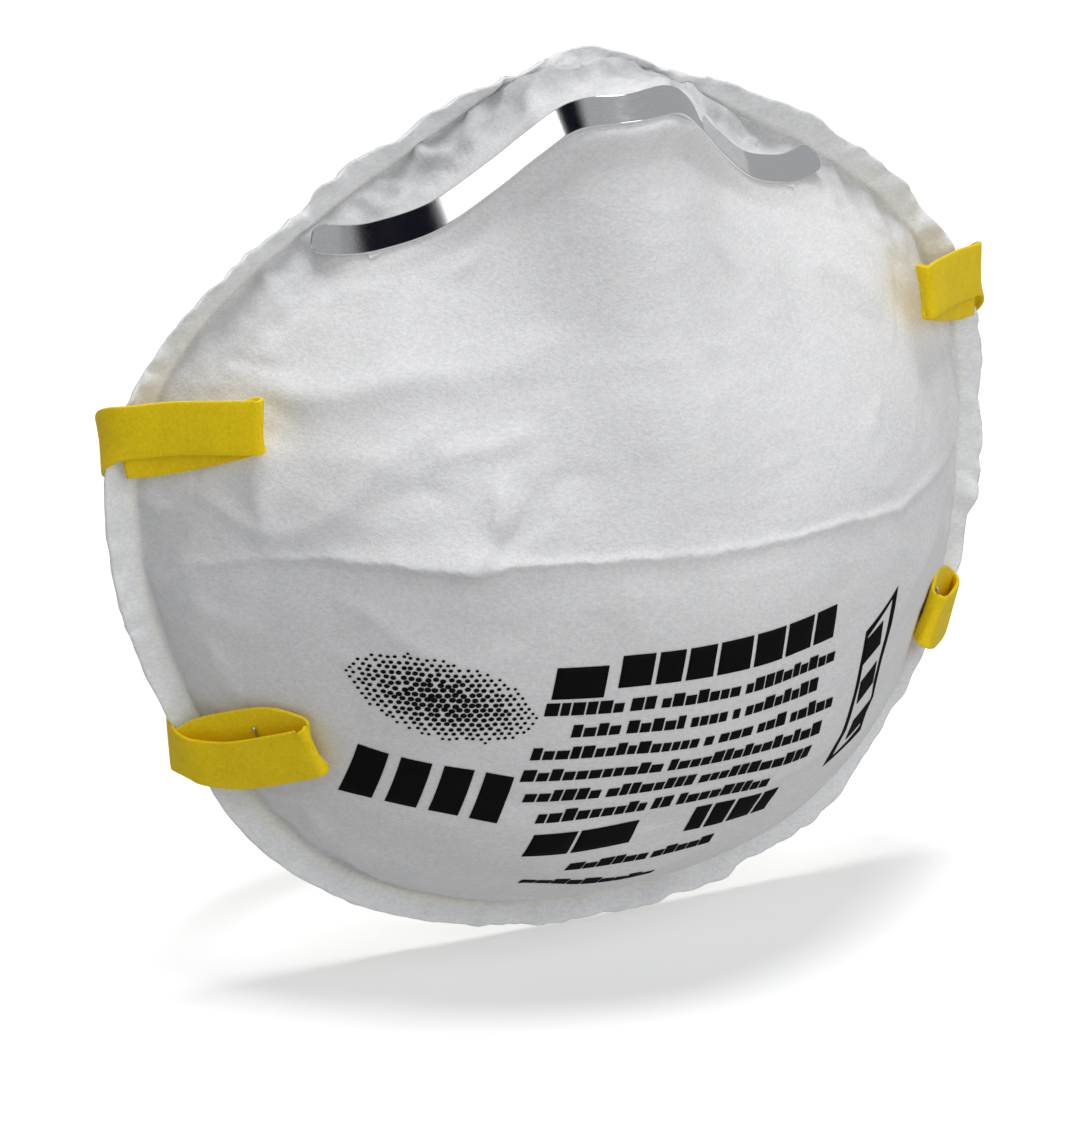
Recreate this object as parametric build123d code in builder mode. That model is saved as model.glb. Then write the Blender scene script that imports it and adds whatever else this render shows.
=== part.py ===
from build123d import *
from math import atan2, cos, exp, hypot, pi, radians, sin, sqrt
import os

os.makedirs("parts", exist_ok=True)

# Frame: origin at the centre of the face opening, +X to the right seen from the front,
# +Y back towards the face, +Z up to the nose. The front of the cup points along -Y.

# rim outline, as a radius that changes with the angle from the top
rim_height = 125.0          # chin edge to nose edge
rim_width = 129.6           # across the cheeks
rim_across = 0.4853         # mean radius of the outline over the width
rim_up = 0.5028             # mean radius of the outline over the height
rim_waves = (-0.0573, -0.0175, 0.0032, 0.0119, 0.0207)
flange_width = 4.5          # flat welded edge outside the cup wall
flange_width_nose = 1.6     # the edge is narrow over the bridge of the nose
flange_thick = 1.3
face_radius_top = 122.0     # the rim bends forward towards the nose
face_radius_chin = 470.0    # and only slightly towards the chin

# cup
cup_depth = 50.0            # origin to the front of the cup
apex_z = -10.0              # height of the front of the cup
nose_spread = 21.0          # degrees to each side of the top that the nose bulge takes
nose_fullness = 0.2         # smaller makes the nose stand out more squarely
cover_thick = 0.5
filter_thick = 1.2
shell_thick = 1.1
outline_points = 28
meridian_points = 80
section_steps = (0.012, 0.05, 0.12, 0.22, 0.34, 0.48, 0.62, 0.77, 0.9)
section_behind = 3.0        # the cup forms run this far behind the origin before they are cut

# nose clip: one flat strip bent in a plane that leans back over the nose
clip_forward = 0.708        # the strip's middle, as a share of the cup's depth
clip_up = 0.4584            # and of the rim's height
clip_lean = 43.0            # degrees between the strip's width and the vertical
clip_width = 5.0
clip_thick = 0.9
# corners of the bent strip: out from the middle as a share of the rim's width, height over the wall
clip_half_corners = ((0.0355, 4.05), (0.1767, 1.0), (0.284, 2.05))
clip_bend = 5.0
clip_end_round = 2.0
glue_width = 3.4
glue_half_span = 31.0
glue_reach = 8.0

# foam pad inside the nose, its face a curve that follows the clip further in
foam_height = 12.0
foam_below_clip = 3.0       # the pad's middle sits this far below the clip's
foam_half_offsets = ((-0.6, 10.5), (-1.9, 9.1), (-5.8, 6.9))
foam_bend = 5.0
foam_top = 12.0

# straps: each end is stapled to the cup, folded over and led back past the rim
strap_width = 7.6
strap_thick = 0.8
strap_layer_gap = 0.9       # room between the folded layers for the staple
strap_clear = 0.35          # between a swinging strap and its fixed end
strap_past_rim = 3.6        # how far the band stands outside the rim where it turns back
pivot_back = 3.0            # the bend the strap swings on, behind the origin
strap_droop = 15.0          # the loops hang a little below level
strap_straight = 4.2        # behind the bend, before the loop turns inwards
loop_bend = 4.0
upper_loop_depth = 34.0
lower_loop_depth = 32.0
upper_strap_z = 16.0
lower_strap_z = -31.0
upper_tilt = 0.0            # degrees that the band leans, turned about the front-to-back line
lower_tilt = 25.0
# the stapled layer, from its free end over the rim to the fold: out from the rim, then in front of the wall
upper_tail = ((0.9, 2.25), (-3.0, 4.55), (-8.0, 4.58), (-12.4, 4.33))
lower_tail = ((0.8, 2.05), (-3.0, 4.06), (-8.6, 2.01), (-12.5, 2.01))
staple_share = 0.78         # staple position along the last stretch, from the fold

# staples
wire_diameter = 0.6
staple_crown = 5.6
staple_leg = 4.6
staple_clinch = 1.9
staple_bend = 0.5


def rim_point(turn):
    shape = 1.0
    for order, part in enumerate(rim_waves, start=1):
        shape += part * cos(order * turn)
    return rim_width * rim_across * shape * sin(turn), rim_height * rim_up * shape * cos(turn)


def face_y(height):
    bend = face_radius_top if height > 0 else face_radius_chin
    return sqrt(bend**2 - height**2) - bend


def foot(turn):
    # where the cup wall stands on the flange
    nearness = exp(-((turn / radians(16)) ** 2))
    width = flange_width + (flange_width_nose - flange_width) * nearness
    rim_x, rim_z = rim_point(turn)
    share = 1 - width / hypot(rim_x, rim_z)
    return rim_x * share, rim_z * share


def dome(turn, reach):
    # distance from the cup's axis and depth on the outside of the cup; reach is 1 at the flange
    foot_x, foot_z = foot(turn)
    start = face_y(foot_z)
    chin = 0.5 - 0.5 * cos(turn)
    nose = reach * exp(-((turn / radians(nose_spread)) ** 2))
    roundness = (1.9 - 0.1 * chin) * (1 - nose) + 1.5 * nose
    fullness = (0.95 - 0.34 * chin**1.1) * (1 - nose) + nose_fullness * nose
    rise = max(0.0, 1 - reach**roundness) ** fullness
    return hypot(foot_x, foot_z - apex_z) * reach, start - (cup_depth + start) * rise


def wall_depth(x, z):
    # depth of the outside of the cup at a point of the front view
    low, high = 0.0, pi
    for step in range(40):
        turn = (low + high) / 2
        foot_x, foot_z = foot(turn)
        if atan2(foot_x, foot_z - apex_z) < atan2(abs(x), z - apex_z):
            low = turn
        else:
            high = turn
    reach = hypot(x, z - apex_z) / hypot(foot_x, foot_z - apex_z)
    return dome(turn, reach)[1] if reach < 1 else face_y(z)


def meridian(turn, inset):
    # one line of the cup from the flange to the front, moved inwards by the inset along its own
    # normal, and the direction it runs in
    foot_x, foot_z = foot(turn)
    length = hypot(foot_x, foot_z - apex_z)
    line = [dome(turn, sin(pi / 2 * (1 - step / meridian_points))) for step in range(meridian_points + 1)]
    moved = []
    for index, (out, depth) in enumerate(line):
        before = line[max(index - 1, 0)]
        after = line[min(index + 1, meridian_points)]
        run = after[0] - before[0]
        fall = after[1] - before[1]
        size = hypot(run, fall)
        moved.append((out + fall / size * inset, depth - run / size * inset))
    return moved, foot_x / length, (foot_z - apex_z) / length


def section_point(turn, inset, depth):
    line, side_x, side_z = meridian(turn, inset)
    out = line[0][0]
    for (out_a, depth_a), (out_b, depth_b) in zip(line, line[1:]):
        if depth_b <= depth <= depth_a:
            share = (depth_a - depth) / (depth_a - depth_b)
            out = out_a + (out_b - out_a) * share
            break
    return out * side_x, apex_z + out * side_z


def cup_form(inset):
    # the solid form of the cup, cut later by the face side
    front = inset - cup_depth
    sections = [Vertex(0, front, apex_z)]
    for step in section_steps + (1.0,):
        depth = front - step * front if step < 1.0 else section_behind
        points = []
        for index in range(outline_points):
            turn = 2 * pi * index / outline_points
            turn = turn if turn <= pi else turn - 2 * pi
            points.append(section_point(turn, inset, depth))
        with BuildSketch(Plane.XZ.offset(-depth)) as section:
            with BuildLine():
                Spline(*points, periodic=True)
            make_face()
        sections.append(section.sketch)
    with BuildPart() as form:
        loft(sections=sections)
    return form.part


def behind_face(shift):
    # everything behind the curved plane of the rim
    reach = 90.0
    with BuildPart() as side:
        with BuildSketch(Plane.YZ):
            with BuildLine():
                ThreePointArc((shift, 0), (face_y(reach / 2) + shift, reach / 2), (face_y(reach) + shift, reach))
                ThreePointArc((shift, 0), (face_y(-reach / 2) + shift, -reach / 2), (face_y(-reach) + shift, -reach))
                Polyline((face_y(reach) + shift, reach), (60, reach), (60, -reach), (face_y(-reach) + shift, -reach))
            make_face()
        extrude(amount=120, both=True)
    return side.part


behind = behind_face(0.0)
filter_at = cover_thick
shell_at = filter_at + filter_thick
inside_at = shell_at + shell_thick
cover_form = cup_form(0.0)
filter_form = cup_form(filter_at)
shell_form = cup_form(shell_at)
inside_form = cup_form(inside_at)

with BuildPart() as cover_web:
    add(cover_form)
    add(filter_form, mode=Mode.SUBTRACT)
    add(behind, mode=Mode.SUBTRACT)
cover_web.part.label = "cover_web"

with BuildPart() as filter_web:
    add(filter_form)
    add(shell_form, mode=Mode.SUBTRACT)
    add(behind, mode=Mode.SUBTRACT)
filter_web.part.label = "filter_web"

with BuildPart() as moulded_shell:
    add(shell_form)
    add(inside_form, mode=Mode.SUBTRACT)
    add(behind, mode=Mode.SUBTRACT)
moulded_shell.part.label = "moulded_shell"

# the welded edge, cut to the outline of the rim
with BuildPart() as welded_rim:
    with BuildSketch(Plane.XZ.offset(-section_behind)):
        with BuildLine():
            outline = []
            for index in range(60):
                turn = 2 * pi * index / 60
                outline.append(rim_point(turn))
            Spline(*outline, periodic=True)
        make_face()
    extrude(amount=40)
    add(behind, mode=Mode.SUBTRACT)
    add(behind_face(-flange_thick), mode=Mode.INTERSECT)
    add(cover_form, mode=Mode.SUBTRACT)
welded_rim.part.label = "welded_rim"

# nose clip and the bead of glue under it
clip_plane = Plane(
    origin=(0, -clip_forward * cup_depth, clip_up * rim_height),
    x_dir=(1, 0, 0),
    z_dir=(0, sin(radians(clip_lean)), cos(radians(clip_lean))),
)


def wall_in_clip_plane(x):
    # how far down the plane of the clip the cup wall lies
    low, high = -12.0, 45.0
    for step in range(40):
        middle = (low + high) / 2
        point = clip_plane.from_local_coords(Vector(x, middle, 0))
        if point.Y > wall_depth(x, point.Z):
            high = middle
        else:
            low = middle
    return low


def both_sides(half):
    return [(-x, y) for x, y in reversed(half)] + list(half)


clip_half = []
for share, lift in clip_half_corners:
    corner_x = share * rim_width
    clip_half.append((corner_x, wall_in_clip_plane(corner_x) - lift))
clip_corners = both_sides(clip_half)
with BuildPart() as nose_clip:
    with BuildSketch(clip_plane):
        with BuildLine():
            FilletPolyline(*clip_corners, radius=clip_bend)
            offset(amount=clip_thick / 2, side=Side.BOTH)
        make_face()
    extrude(amount=clip_width, both=True)
    flat_plane = Plane(origin=clip_plane.origin, x_dir=(1, 0, 0), z_dir=clip_plane.y_dir)
    with BuildSketch(flat_plane, mode=Mode.PRIVATE) as blank:
        RectangleRounded(2 * clip_half[-1][0], clip_width, clip_end_round)
    extrude(blank.sketch, amount=80, both=True, mode=Mode.INTERSECT)
nose_clip.part.label = "nose_clip"

with BuildPart() as clip_glue:
    with BuildSketch(clip_plane):
        with BuildLine():
            upper_edge = FilletPolyline(*clip_corners, radius=clip_bend)
            lower_edge = FilletPolyline(*[(x, y + glue_reach) for x, y in clip_corners], radius=clip_bend)
            Line(upper_edge @ 0, lower_edge @ 0)
            Line(upper_edge @ 1, lower_edge @ 1)
        make_face()
        Rectangle(2 * glue_half_span, 120, mode=Mode.INTERSECT)
    extrude(amount=glue_width / 2, both=True)
    add(nose_clip.part, mode=Mode.SUBTRACT)
    add(cover_form, mode=Mode.SUBTRACT)
clip_glue.part.label = "clip_glue"

with BuildPart() as nose_foam:
    add(inside_form)
    with BuildSketch(clip_plane.offset(-foam_below_clip), mode=Mode.PRIVATE) as pad:
        with BuildLine():
            foam_half = [(x + dx, y + dy) for (x, y), (dx, dy) in zip(clip_half, foam_half_offsets)]
            end_x, end_y = foam_half[-1]
            FilletPolyline(*both_sides(foam_half), radius=foam_bend)
            Polyline((end_x, end_y), (end_x, -foam_top), (-end_x, -foam_top), (-end_x, end_y))
        make_face()
    extrude(pad.sketch, amount=foam_height / 2, both=True, mode=Mode.INTERSECT)
nose_foam.part.label = "nose_foam"


def strap_plane(height, tilt):
    # the band's width lies along the rim here; x runs outwards and y back towards the face
    across = rim_crossing(height)
    lean = radians(tilt)
    return Plane(origin=(across, 0, height), x_dir=(cos(lean), 0, -sin(lean)), z_dir=(sin(lean), 0, cos(lean)))


def rim_crossing(height):
    # where the rim passes a height, on the right
    low, high = 0.05, pi - 0.05
    for step in range(50):
        middle = (low + high) / 2
        if rim_point(middle)[1] > height:
            low = middle
        else:
            high = middle
    return rim_point(low)[0]


def tail_line(height, tilt, tail):
    # the stapled layer in its plane, following the cup wall
    band = strap_plane(height, tilt)
    line = []
    for out, lift in tail:
        point = band.from_local_coords(Vector(out, 0, 0))
        line.append((out, wall_depth(point.X, point.Z) - lift))
    return line


def fold_normal(tail):
    run = tail[-2][0] - tail[-1][0]
    rise = tail[-2][1] - tail[-1][1]
    size = hypot(run, rise)
    return rise / size, -run / size


def strap_end(height, tilt, tail):
    spread = strap_thick + strap_layer_gap
    out_x, out_y = fold_normal(tail)
    over = [(x + spread * out_x, y + spread * out_y) for x, y in reversed(tail[1:])]
    end_y = pivot_back - strap_width / 2 - strap_clear - strap_thick / 2
    over += [
        (tail[0][0] + 0.6, tail[0][1] - spread + 0.3),
        (strap_past_rim, end_y - 1.6),
        (strap_past_rim, end_y),
    ]
    with BuildPart() as built:
        with BuildSketch(strap_plane(height, tilt)):
            with BuildLine():
                FilletPolyline(*tail, *over, radius=spread / 2 - 0.02)
                offset(amount=strap_thick / 2, side=Side.BOTH)
            make_face()
        extrude(amount=strap_width / 2, both=True)
    return built.part


def staple(height, tilt, tail):
    band = strap_plane(height, tilt)
    out_x, out_y = fold_normal(tail)
    lift = strap_thick / 2 + wire_diameter / 2
    at_x = tail[-2][0] * staple_share + tail[-1][0] * (1 - staple_share) + out_x * lift
    at_y = tail[-2][1] * staple_share + tail[-1][1] * (1 - staple_share) + out_y * lift
    centre = band.from_local_coords(Vector(at_x, at_y, 0))
    inward = band.from_local_coords(Vector(at_x - out_x, at_y - out_y, 0)) - centre
    across = band.z_dir
    wire_plane = Plane(origin=centre, x_dir=across, z_dir=across.cross(inward))
    half = staple_crown / 2
    with BuildPart() as built:
        with BuildLine(wire_plane) as wire:
            FilletPolyline(
                (-half + staple_clinch, staple_leg),
                (-half, staple_leg),
                (-half, 0),
                (half, 0),
                (half, staple_leg),
                (half - staple_clinch, staple_leg),
                radius=staple_bend,
            )
        with BuildSketch(Plane(origin=wire.line @ 0, z_dir=wire.line % 0)):
            Circle(wire_diameter / 2)
        sweep(path=wire.line)
    return built.part


def strap_loop(height, tilt, depth):
    band = strap_plane(height, tilt)
    leg_x = band.from_local_coords(Vector(strap_past_rim, 0, 0)).X
    droop = radians(strap_droop)
    level = Plane(origin=(0, pivot_back, height), x_dir=(1, 0, 0), z_dir=(0, sin(droop), cos(droop)))
    right = [(leg_x, 0), (leg_x, strap_straight), (leg_x * 0.86, depth * 0.41)]
    right += [(leg_x * 0.55, depth * 0.82), (leg_x * 0.2, depth)]
    path = right + [(-x, y) for x, y in reversed(right)]
    with BuildPart() as built:
        with BuildSketch(level):
            with BuildLine():
                FilletPolyline(*path, radius=loop_bend)
                offset(amount=strap_thick / 2, side=Side.BOTH)
            make_face()
        extrude(amount=strap_width / 2, both=True)
        with Locations((leg_x, pivot_back, height), (-leg_x, pivot_back, height)):
            Cylinder(radius=strap_width / 2, height=strap_thick, rotation=(0, 90, 0))
    return built.part


pieces = [cover_web, filter_web, moulded_shell, welded_rim, nose_clip, clip_glue, nose_foam]
finished = [piece.part for piece in pieces]
for level, height, tilt, tail in (
    ("upper", upper_strap_z, upper_tilt, upper_tail),
    ("lower", lower_strap_z, lower_tilt, lower_tail),
):
    line = tail_line(height, tilt, tail)
    right_end = strap_end(height, tilt, line)
    right_staple = staple(height, tilt, line)
    for side, end, wire in (
        ("right", right_end, right_staple),
        ("left", mirror(right_end, about=Plane.YZ), mirror(right_staple, about=Plane.YZ)),
    ):
        end.label = f"{level}_{side}_strap_end"
        wire.label = f"{level}_{side}_staple"
        finished += [end, wire]

upper_strap_loop = strap_loop(upper_strap_z, upper_tilt, upper_loop_depth)
upper_strap_loop.label = "upper_strap_loop"
lower_strap_loop = strap_loop(lower_strap_z, lower_tilt, lower_loop_depth)
lower_strap_loop.label = "lower_strap_loop"
finished += [upper_strap_loop, lower_strap_loop]

for part in finished:
    export_step(part, f"parts/{part.label}.step")
    print(part.label, round(part.volume, 2), len(part.solids()), part.is_valid)
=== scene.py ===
import bpy
import math
import numpy as np
from mathutils import Matrix, Vector


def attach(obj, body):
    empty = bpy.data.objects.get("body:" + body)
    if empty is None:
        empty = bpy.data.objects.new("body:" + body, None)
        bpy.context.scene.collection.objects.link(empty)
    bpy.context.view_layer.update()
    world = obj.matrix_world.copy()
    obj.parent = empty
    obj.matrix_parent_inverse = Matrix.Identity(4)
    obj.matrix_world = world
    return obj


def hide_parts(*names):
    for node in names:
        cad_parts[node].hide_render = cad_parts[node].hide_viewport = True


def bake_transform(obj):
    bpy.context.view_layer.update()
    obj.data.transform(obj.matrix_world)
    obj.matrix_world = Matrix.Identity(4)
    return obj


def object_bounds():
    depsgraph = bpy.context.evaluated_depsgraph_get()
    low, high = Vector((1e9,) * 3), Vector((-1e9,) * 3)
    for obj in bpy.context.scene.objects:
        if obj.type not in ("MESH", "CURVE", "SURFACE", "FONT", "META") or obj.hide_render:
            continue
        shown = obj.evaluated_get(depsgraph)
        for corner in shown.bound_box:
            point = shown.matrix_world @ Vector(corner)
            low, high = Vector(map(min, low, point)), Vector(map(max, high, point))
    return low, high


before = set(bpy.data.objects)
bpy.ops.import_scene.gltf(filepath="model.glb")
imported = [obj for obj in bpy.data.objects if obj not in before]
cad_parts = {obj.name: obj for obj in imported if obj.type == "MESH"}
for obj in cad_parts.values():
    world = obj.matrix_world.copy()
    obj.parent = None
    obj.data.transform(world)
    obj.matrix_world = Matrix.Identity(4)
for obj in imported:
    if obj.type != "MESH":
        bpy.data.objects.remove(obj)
cadLow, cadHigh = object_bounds()
mm = 0.001
maskBody = "mask_body"

# cup and rim sizes in millimetres, the same as the solid model's
cup = {
    "rimHeight": 125.0,
    "rimWidth": 129.6,
    "rimWaves": (-0.0573, -0.0175, 0.0032, 0.0119, 0.0207),
    "flange": 4.5,
    "flangeAtNose": 1.6,
    "flangeThick": 1.3,
    "bendTop": 122.0,
    "bendChin": 470.0,
    "depth": 50.0,
    "apexZ": -10.0,
    "noseSpread": 21.0,
    "noseFullness": 0.2,
    "trims": ((15, 8, -1.3), (-42, 20, -1.0), (128, 14, -0.7), (-100, 10, 0.5)),
    "around": 432,
    "wallRings": 150,
    "flangeRings": 12,
}


def rimPoint(turn):
    # mean radius times one plus a few cosine waves of the angle from the top
    shape = 1.0 + sum(part * np.cos((order + 1) * turn) for order, part in enumerate(cup["rimWaves"]))
    across = cup["rimWidth"] * 0.4853 * shape * np.sin(turn)
    up = cup["rimHeight"] * 0.5028 * shape * np.cos(turn)
    return across, up


def faceDepth(height):
    # two arcs that meet level with the cheeks: how far forward the rim lies at a height
    bend = np.where(height > 0, cup["bendTop"], cup["bendChin"])
    return np.sqrt(bend**2 - height**2) - bend


def flangeWidth(turn):
    near = np.exp(-((wrapped(turn) / math.radians(16)) ** 2))
    return cup["flange"] + (cup["flangeAtNose"] - cup["flange"]) * near


def wrapped(turn):
    return (turn + math.pi) % (2 * math.pi) - math.pi


def footPoint(turn):
    across, up = rimPoint(turn)
    share = 1 - flangeWidth(turn) / np.hypot(across, up)
    return across * share, up * share


def wallPoint(turn, reach):
    # a dome over the rim: forward by one minus reach to a power, all to a second power,
    # where both powers change with the angle so that the nose stands out and the chin is round
    footX, footZ = footPoint(turn)
    start = faceDepth(footZ)
    chin = 0.5 - 0.5 * np.cos(turn)
    nose = reach * np.exp(-((wrapped(turn) / math.radians(cup["noseSpread"])) ** 2))
    roundness = (1.9 - 0.1 * chin) * (1 - nose) + 1.5 * nose
    fullness = (0.95 - 0.34 * chin**1.1) * (1 - nose) + cup["noseFullness"] * nose
    rise = np.maximum(0.0, 1 - reach**roundness) ** fullness
    x = footX * reach
    z = cup["apexZ"] + (footZ - cup["apexZ"]) * reach
    return np.stack([x, start - (cup["depth"] + start) * rise, z], -1)


def wallNormal(turn, reach):
    # cross product of the two surface directions, turned to point away from the cup's inside
    step = 0.004
    low = np.clip(reach - step, 0.01, 0.995)
    high = np.clip(reach + step, 0.02, 0.9995)
    alongReach = wallPoint(turn, high) - wallPoint(turn, low)
    sideways = np.maximum(reach, 0.02)
    alongTurn = wallPoint(turn + step, sideways) - wallPoint(turn - step, sideways)
    normal = np.cross(alongTurn, alongReach)
    normal /= np.linalg.norm(normal, axis=-1, keepdims=True) + 1e-9
    outward = wallPoint(turn, reach) - np.array([0.0, 6.0, -6.0])
    return normal * np.sign((normal * outward).sum(-1, keepdims=True))


def waves(points, count, size, seed, stretch=(1.0, 1.0, 1.0)):
    # a sum of sine waves in random directions, with wavelengths near the given size
    rng = np.random.default_rng(seed)
    total = np.zeros(points.shape[:-1])
    for index in range(count):
        way = rng.normal(size=3)
        way /= np.linalg.norm(way)
        length = size * rng.uniform(0.65, 1.5)
        total += np.sin((points / np.array(stretch)) @ way * 2 * math.pi / length + rng.uniform(0, 6.28))
    return total / math.sqrt(count / 2)


def smoothStep(value, low, high):
    share = np.clip((value - low) / (high - low), 0, 1)
    return share * share * (3 - 2 * share)


# nose clip: a flat strip bent over the nose, its width leaning back
noseClip = {
    "middle": (0.0, -35.8, 57.6),
    "half": (
        (7.0, -33.0, 57.0),
        (11.8, -29.2, 53.0),
        (16.3, -25.0, 48.2),
        (22.7, -19.9, 42.6),
        (29.3, -15.6, 39.9),
        (33.2, -12.9, 39.3),
        (36.9, -10.2, 39.6),
    ),
    "width": 4.3,
    "thick": 0.62,
    "edge": 0.13,
    "endRound": 2.1,
    "lean": 43.0,
    "steps": 240,
}


def smoothPath(points, count):
    # Catmull-Rom curve through the points, spaced evenly along its length
    points = np.asarray(points, float)
    padded = np.concatenate([[2 * points[0] - points[1]], points, [2 * points[-1] - points[-2]]])
    share = np.linspace(0, 1, 40, endpoint=False)[None, :, None]
    p0, p1, p2, p3 = (padded[index : len(padded) - 3 + index][:, None] for index in range(4))
    bent = 0.5 * (
        2 * p1
        + (p2 - p0) * share
        + (2 * p0 - 5 * p1 + 4 * p2 - p3) * share**2
        + (3 * p1 - p0 - 3 * p2 + p3) * share**3
    )
    dense = np.concatenate([bent.reshape(-1, points.shape[1]), points[-1:]])
    walked = np.concatenate([[0], np.cumsum(np.linalg.norm(np.diff(dense[:, :3], axis=0), axis=1))])
    places = np.linspace(0, walked[-1], count)
    spaced = [np.interp(places, walked, dense[:, axis]) for axis in range(points.shape[1])]
    return np.stack(spaced, -1), walked[-1]


halfClip = np.array(noseClip["half"])
clipRoute = np.concatenate([halfClip[::-1] * [-1, 1, 1], [noseClip["middle"]], halfClip])
clipPath, clipLength = smoothPath(clipRoute, noseClip["steps"])
lean = math.radians(noseClip["lean"])
clipDown = np.array([0.0, math.cos(lean), -math.sin(lean)])
clipAcross = np.array([0.0, math.sin(lean), math.cos(lean)])


def underClip(points, turn, reach):
    # how far the cover rises to meet the strip's back, fading out past its two edges
    start = np.array(noseClip["middle"])
    down = (points - start) @ clipDown
    aside = (points - start) @ clipAcross
    strip = np.interp(points[..., 0], clipPath[:, 0], (clipPath - start) @ clipDown)
    aside = aside - np.interp(points[..., 0], clipPath[:, 0], (clipPath - start) @ clipAcross)
    normal = wallNormal(turn, np.maximum(reach, 0.05))
    gap = np.clip(down - strip - 0.42, 0, 5) * np.clip(-(normal @ clipDown), 0, 1)
    near = 1 - smoothStep(np.abs(aside), 1.9, 5.6)
    ends = 1 - smoothStep(np.abs(points[..., 0]), 32.0, 38.0)
    return np.where(points[..., 2] > 20, gap * near * ends, 0.0)


# wrinkles of the cover: start and end across the front in millimetres, half width, height
wrinkles = {
    "creaseX": (-60, -55, -50, -43, -36, -31, -28, -24, -20, -7, 6, 24, 37, 46, 60),
    "creaseZ": (-3.4, -2.4, -0.7, 0.2, 0.0, -0.5, -0.8, -0.2, 0.1, -0.2, -1.1, -2.2, -4.6, -4.0, -4.0),
    "creaseHigh": (0.1, 0.4, 0.5, 0.85, 1.5, 1.9, 1.95, 1.0, 0.75, 0.6, 0.5, 0.5, 0.45, 0.35, 0.1),
    "creaseWide": (0.5, 0.6, 0.7, 1.3, 2.4, 3.1, 3.0, 1.3, 0.9, 0.75, 0.7, 0.7, 0.65, 0.6, 0.5),
    "folds": (
        (-47, 21, -29, 22.5, 3.6, 1.15),
        (-29, 22.5, -13, 27, 4.0, 0.6),
        (-48.5, 23.6, -42, 25, 0.9, -0.6),
        (-51.5, 24, -46, 31, 2.0, -0.6),
        (-52, 28, -44, 35, 1.8, 0.6),
        (-47, 15, -50, 4, 2.1, 0.8),
        (-55, 6, -48, 3.2, 1.8, 0.5),
        (-46, 4, -34, 13, 2.8, 0.7),
        (-41, 13, -28, 17, 2.8, 0.35),
        (-38, 7, -30, 10, 2.6, -0.45),
        (-30, 12.5, -19, 17, 2.4, 0.6),
        (-28, -0.5, -22.3, 9.5, 2.2, 1.25),
        (-24, 1.5, -19.5, 8, 1.9, -1.1),
        (-20, 8, -12, 11, 3.0, -0.4),
        (-42, -6, -28, -14, 2.6, 0.35),
        (-34, -5, -22, -11, 2.6, -0.35),
        (-52, -10, -40, -16, 2.4, 0.3),
        (-47, -34, -30, -40, 3.0, 0.25),
        (-40, -45, -24, -50, 2.6, 0.3),
        (-12, -54, 6, -49, 2.8, 0.3),
        (-14, 44, -22, 36, 1.5, 0.55),
        (-9, 47, -12, 38, 1.4, -0.4),
        (8, 46, 14, 34, 2.2, 0.5),
        (18, 40, 22, 28, 2.4, 0.35),
        (30, 30, 40, 20, 2.4, 0.5),
        (44, 20, 34, 8, 2.4, 0.45),
        (48, 12, 40, 2, 2.0, 0.4),
        (46, -12, 36, -22, 2.4, 0.35),
        (28, -34, 40, -24, 2.6, 0.3),
        (-34, 33, -24, 38, 2.4, 0.4),
        (-28, 40, -20, 46, 1.6, 0.5),
    ),
    "dimples": (
        (-47.5, 17.5, 4.5, -0.9),
        (47.5, 17.5, 4.5, -0.9),
        (-43.5, -27.5, 4.5, -0.7),
        (43.5, -27.5, 4.5, -0.7),
    ),
    "soft": 0.33,
    "fine": 0.05,
}


def coverRelief(points, turn, reach):
    # how far the cover stands out from the smooth dome: crease, folds, dimples and soft waves
    x, z = points[..., 0], points[..., 2]
    line = np.interp(x, wrinkles["creaseX"], wrinkles["creaseZ"])
    high = np.interp(x, wrinkles["creaseX"], wrinkles["creaseHigh"])
    wide = np.interp(x, wrinkles["creaseX"], wrinkles["creaseWide"])
    above = z - line + 0.09 * np.sin(x * 0.9) + 0.05 * np.sin(x * 2.3 + 1)
    upperSide = np.exp(-((np.maximum(above, 0) / wide) ** 1.4))
    lowerSide = np.exp(-((above / 0.5) ** 2))
    ridge = np.where(above > 0, upperSide, lowerSide)
    hollow = -0.13 * wide * np.exp(-(((above + 2.6) / 1.9) ** 2))
    total = high * (ridge + hollow)
    for startX, startZ, endX, endZ, wide, tall in wrinkles["folds"]:
        runX, runZ = endX - startX, endZ - startZ
        length = math.hypot(runX, runZ)
        along = ((x - startX) * runX + (z - startZ) * runZ) / length**2
        aside = ((x - startX) * runZ - (z - startZ) * runX) / length
        aside = aside + 0.8 * np.sin(along * 4.0 + startX)
        taper = np.exp(-((np.maximum(0, np.abs(along - 0.5) - 0.28) / 0.3) ** 2))
        sharp = 1 / (1 + (aside / wide * 1.35) ** 2) ** 1.6
        total = total + tall * taper * sharp
    for middleX, middleZ, wide, deep in wrinkles["dimples"]:
        total = total + deep * np.exp(-(((x - middleX) ** 2 + (z - middleZ) ** 2) / wide**2))
    calm = smoothStep(reach, 0.0, 0.3)
    soft = waves(points, 14, 26.0, 3) * wrinkles["soft"] * (0.4 + 0.6 * calm)
    fine = (1 - np.abs(waves(points, 16, 9.5, 8, (1.6, 1.0, 0.8)))) * wrinkles["fine"]
    edge = smoothStep(reach, 0.86, 0.985)
    folded = 1 - np.abs(waves(points, 18, 9.0, 21, (1.0, 1.0, 1.6)))
    crush = (1.5 * folded + 0.5 * (1 - np.abs(waves(points, 18, 4.5, 22)))) * edge * crushShare(turn)
    total = (total + soft + fine) * (1 - smoothStep(reach, 0.93, 1.0)) + crush
    raised = underClip(points, turn, reach)
    total = total * (1 - 0.7 * smoothStep(raised, 0.1, 0.8)) + raised
    return np.maximum(total + 0.12, -0.12)


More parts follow.
